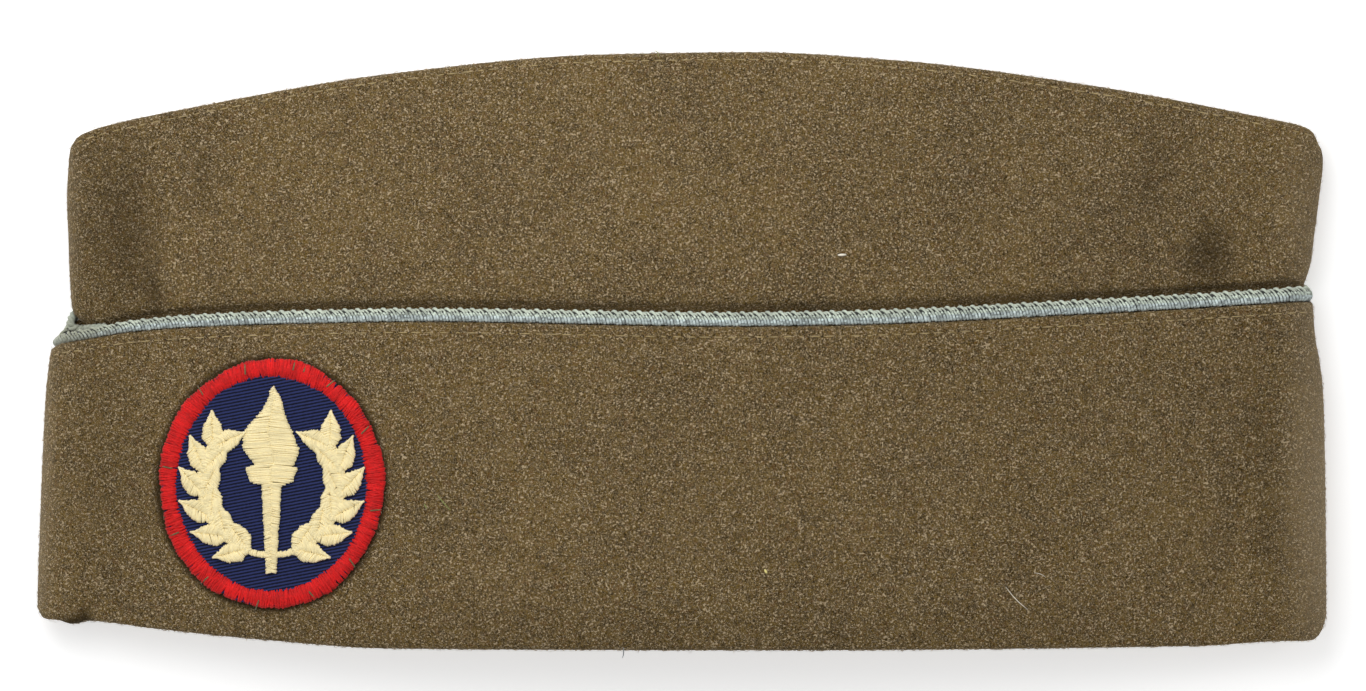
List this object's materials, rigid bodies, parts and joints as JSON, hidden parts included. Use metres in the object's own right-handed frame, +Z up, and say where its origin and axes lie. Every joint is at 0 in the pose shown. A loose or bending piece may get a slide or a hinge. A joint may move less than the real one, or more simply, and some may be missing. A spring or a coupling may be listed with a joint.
{
  "type": "garrison cap",
  "caption": "Folded side cap in olive-brown wool with a turn-up curtain, braided piping and a round sewn patch, lying on its side.",
  "frame": {"origin": "middle of the lying cap's footprint, on the surface that it lies on", "axes": "+X along the cap from its front to its back, +Y from the open rim up to the ridge, +Z up, from the wearer's right side to the left"},
  "size_m": [0.292, 0.1348, 0.0269],
  "materials": {
    "wool": "olive-brown milled wool, matt and slightly hairy",
    "piping_braid": "pale blue-grey braided cord, soft sheen",
    "patch_twill": "navy cotton twill",
    "border_thread": "red satin stitch, silky",
    "emblem_thread": "cream satin stitch, silky"
  },
  "bodies": {
    "root": {"curtain_right": "wool", "crown_right": "wool", "crown_gusset": "wool", "crown_left": "wool", "curtain_left": "wool", "edge_piping": "piping_braid", "patch_ground": "patch_twill", "patch_border": "border_thread", "patch_emblem": "emblem_thread"}
  },
  "joints": []
}
